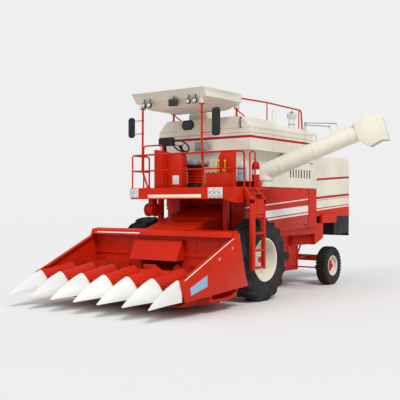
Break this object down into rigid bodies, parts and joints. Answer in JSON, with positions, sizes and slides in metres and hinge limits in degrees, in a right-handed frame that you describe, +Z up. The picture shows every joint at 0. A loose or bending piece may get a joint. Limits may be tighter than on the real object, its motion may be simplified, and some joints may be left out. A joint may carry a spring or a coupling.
{
  "type": "combine harvester",
  "caption": "Self-propelled combine harvester with an open driver's platform, grain tank, unloading auger, straw hood and a lifting maize header.",
  "frame": {"origin": "on the ground under the middle of the drive axle", "axes": "+Z up, -Y the way it drives, +X its left side"},
  "size_m": [5.2094, 8.26, 3.955],
  "materials": {
    "red_paint": "gloss",
    "cream_paint": "gloss",
    "white_paint": "gloss",
    "tyre": "matte",
    "rim_cream": "satin",
    "black_rubber": "matte",
    "dark_iron": "satin",
    "bright_steel": "satin",
    "glass": "gloss",
    "seat_vinyl": "satin",
    "yellow_grip": "satin",
    "black_plastic": "satin",
    "lamp": "gloss",
    "bottle": "gloss"
  },
  "bodies": {
    "chassis": {"chassis_frame": "red_paint", "drive_axle": "red_paint", "rear_axle": "red_paint", "separator_body": "red_paint", "side_shields": "red_paint", "upper_walls": "cream_paint", "upper_covers": "cream_paint", "sieve_box": "red_paint", "straw_hood": "red_paint", "hood_curtain": "black_rubber", "engine": "dark_iron", "tank_body": "cream_paint", "tank_roof": "cream_paint", "sight_glass": "glass", "grain_elevator": "cream_paint", "platform_deck": "red_paint", "front_supports": "red_paint", "platform_rails": "red_paint", "canopy_frame": "red_paint", "canopy": "cream_paint", "work_lamps": "lamp", "mirrors": "black_plastic", "control_cabinets": "red_paint", "levers": "yellow_grip", "steering_column": "black_plastic", "seat": "seat_vinyl", "bottles": "bottle", "ladder": "red_paint", "deck_fittings": "white_paint", "auger_base": "cream_paint"},
    "header": {"feeder_house": "red_paint", "header_frame": "red_paint", "header_sides": "red_paint", "snouts": "white_paint", "row_hoods": "red_paint", "row_units": "dark_iron"},
    "cross_auger": {"cross_auger": "red_paint"},
    "tank_lid": {"tank_lid": "cream_paint"},
    "unloading_auger": {"unloading_auger": "cream_paint"},
    "auger_stays": {"auger_stays": "bright_steel"},
    "lift_barrels": {"lift_barrels": "red_paint"},
    "lift_rods": {"lift_rods": "bright_steel"},
    "tie_rod": {"tie_rod": "red_paint"},
    "drive_wheel_left": {"drive_tyre_left": "tyre", "drive_rim_left": "rim_cream"},
    "drive_wheel_right": {"drive_tyre_right": "tyre", "drive_rim_right": "rim_cream"},
    "knuckle_left": {"knuckle_left": "red_paint"},
    "knuckle_right": {"knuckle_right": "red_paint"},
    "steer_wheel_left": {"steer_tyre_left": "tyre", "steer_rim_left": "rim_cream"},
    "steer_wheel_right": {"steer_tyre_right": "tyre", "steer_rim_right": "rim_cream"}
  },
  "joints": [
    {"name": "drive_spin_left", "type": "hinge", "parent": "chassis", "child": "drive_wheel_left", "pos_m": [1.29, 0, 0.775], "axis": [1, 0, 0], "continuous": true},
    {"name": "drive_spin_right", "type": "hinge", "parent": "chassis", "child": "drive_wheel_right", "pos_m": [-1.29, 0, 0.775], "axis": [1, 0, 0], "continuous": true},
    {"name": "steer_left", "type": "hinge", "parent": "chassis", "child": "knuckle_left", "pos_m": [0.862, 3.36, 0.59], "axis": [0, 0, 1], "range_deg": [-28, 28]},
    {"name": "steer_right", "type": "hinge", "parent": "chassis", "child": "knuckle_right", "pos_m": [-0.862, 3.36, 0.59], "axis": [0, 0, 1], "range_deg": [-28, 28]},
    {"name": "tie_rod_slide", "type": "slide", "parent": "chassis", "child": "tie_rod", "axis": [1, 0, 0], "range_m": [-0.08, 0.08]},
    {"name": "steer_spin_left", "type": "hinge", "parent": "knuckle_left", "child": "steer_wheel_left", "pos_m": [1.085, 3.36, 0.43], "axis": [1, 0, 0], "continuous": true},
    {"name": "steer_spin_right", "type": "hinge", "parent": "knuckle_right", "child": "steer_wheel_right", "pos_m": [-1.085, 3.36, 0.43], "axis": [1, 0, 0], "continuous": true},
    {"name": "header_lift", "type": "hinge", "parent": "chassis", "child": "header", "pos_m": [0, 0.35, 1.5], "axis": [-1, 0, 0], "range_deg": [-1.5, 12]},
    {"name": "cylinder_tilt", "type": "hinge", "parent": "chassis", "child": "lift_barrels", "pos_m": [0, -0.19, 0.62], "axis": [-1, 0, 0], "range_deg": [-3, 22]},
    {"name": "cylinder_stroke", "type": "slide", "parent": "lift_barrels", "child": "lift_rods", "axis": [0, -0.9693, -0.2458], "range_m": [-0.025, 0.18]},
    {"name": "cross_auger_spin", "type": "hinge", "parent": "header", "child": "cross_auger", "pos_m": [0, -1.56, 0.52], "axis": [1, 0, 0], "continuous": true},
    {"name": "auger_swing", "type": "hinge", "parent": "chassis", "child": "unloading_auger", "pos_m": [1.15, 0.5, 2.3], "axis": [0, 0, 1], "range_deg": [0, 50]},
    {"name": "stay_fold", "type": "hinge", "parent": "chassis", "child": "auger_stays", "pos_m": [1.04, 2.36, 3.49], "axis": [0, 0, 1], "range_deg": [-38, 0]},
    {"name": "tank_lid_hinge", "type": "hinge", "parent": "chassis", "child": "tank_lid", "pos_m": [-0.42, 1.9, 3.4403], "axis": [0, -1, 0], "range_deg": [0, 80]}
  ],
  "couplings": [
    {"joint": "steer_right", "follows": "steer_left", "ratio": 1},
    {"joint": "tie_rod_slide", "follows": "steer_left", "m_per_rad": 0.157},
    {"joint": "cylinder_tilt", "follows": "header_lift", "ratio": 1.75},
    {"joint": "cylinder_stroke", "follows": "header_lift", "m_per_rad": 0.83},
    {"joint": "stay_fold", "follows": "auger_swing", "ratio": -0.74}
  ]
}
